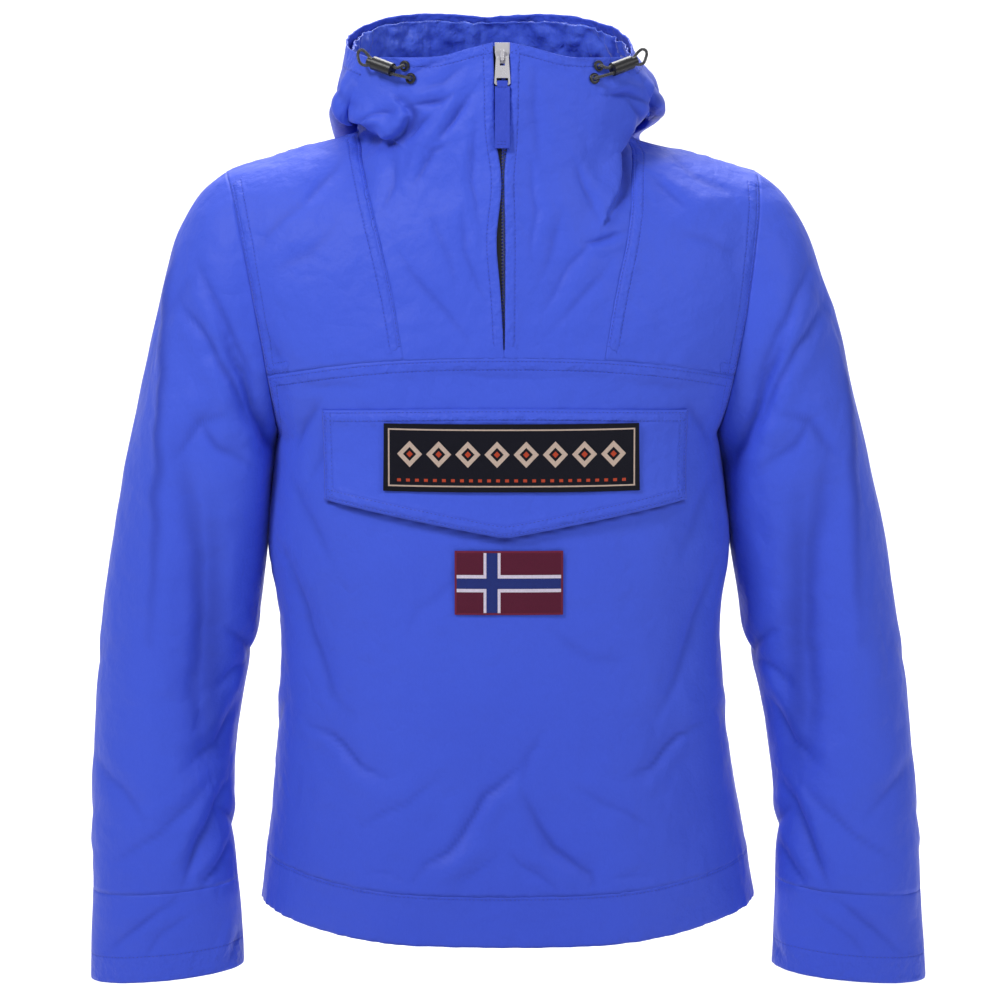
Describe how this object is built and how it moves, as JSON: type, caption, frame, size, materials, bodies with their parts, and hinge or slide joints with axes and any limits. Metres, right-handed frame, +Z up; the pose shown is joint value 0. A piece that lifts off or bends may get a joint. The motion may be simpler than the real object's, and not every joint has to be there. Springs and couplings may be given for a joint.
{
  "type": "anorak pullover",
  "caption": "Hooded pullover anorak in its worn shape: half zip with a pull tab, chest pocket flap, two sewn patches, set-in sleeves, open neck, cuffs and hem.",
  "frame": {"origin": "middle of the neck's base, level with the shoulders that carry the garment", "axes": "+Z up, the front faces -Y, +X is the wearer's left"},
  "size_m": [0.712, 0.2932, 0.8129],
  "materials": {
    "shell_cloth": "matt tightly woven nylon, cobalt blue",
    "lining_cloth": "creased satin lining, cobalt blue",
    "name_patch": "black woven patch with beige embroidery",
    "flag_patch": "embroidered patch, burgundy, white and blue",
    "zip_tape": "black woven zip tape",
    "zip_metal": "polished nickel",
    "eyelet_metal": "gunmetal",
    "cord_lock": "black satin plastic",
    "cord": "black braided elastic cord"
  },
  "bodies": {
    "garment": {"front_lower": "shell_cloth", "back": "shell_cloth", "hem_band": "shell_cloth", "yoke_left": "shell_cloth", "yoke_right": "shell_cloth", "inset_left": "shell_cloth", "inset_right": "shell_cloth", "hood_left": "shell_cloth", "hood_right": "shell_cloth", "sleeve_left": "shell_cloth", "sleeve_right": "shell_cloth", "cuff_left": "shell_cloth", "cuff_right": "shell_cloth", "pocket_flap": "shell_cloth", "hood_lining": "lining_cloth", "label_patch": "name_patch", "flag_patch": "flag_patch", "zip_tape_left": "zip_tape", "zip_tape_right": "zip_tape", "zip_slider": "zip_metal", "eyelet_left_lower": "eyelet_metal", "eyelet_left_upper": "eyelet_metal", "eyelet_right_lower": "eyelet_metal", "eyelet_right_upper": "eyelet_metal", "cord_lock_left": "cord_lock", "cord_lock_right": "cord_lock", "drawcord_left": "cord", "drawcord_right": "cord"},
    "zip_pull": {"zip_pull": "zip_metal", "pull_strap": "shell_cloth"}
  },
  "joints": [
    {"name": "pull_hinge", "type": "hinge", "parent": "garment", "child": "zip_pull", "pos_m": [-0.00229, -0.09338, 0.06336], "axis": [-1, 0, 0], "range_deg": [0, 160]}
  ]
}
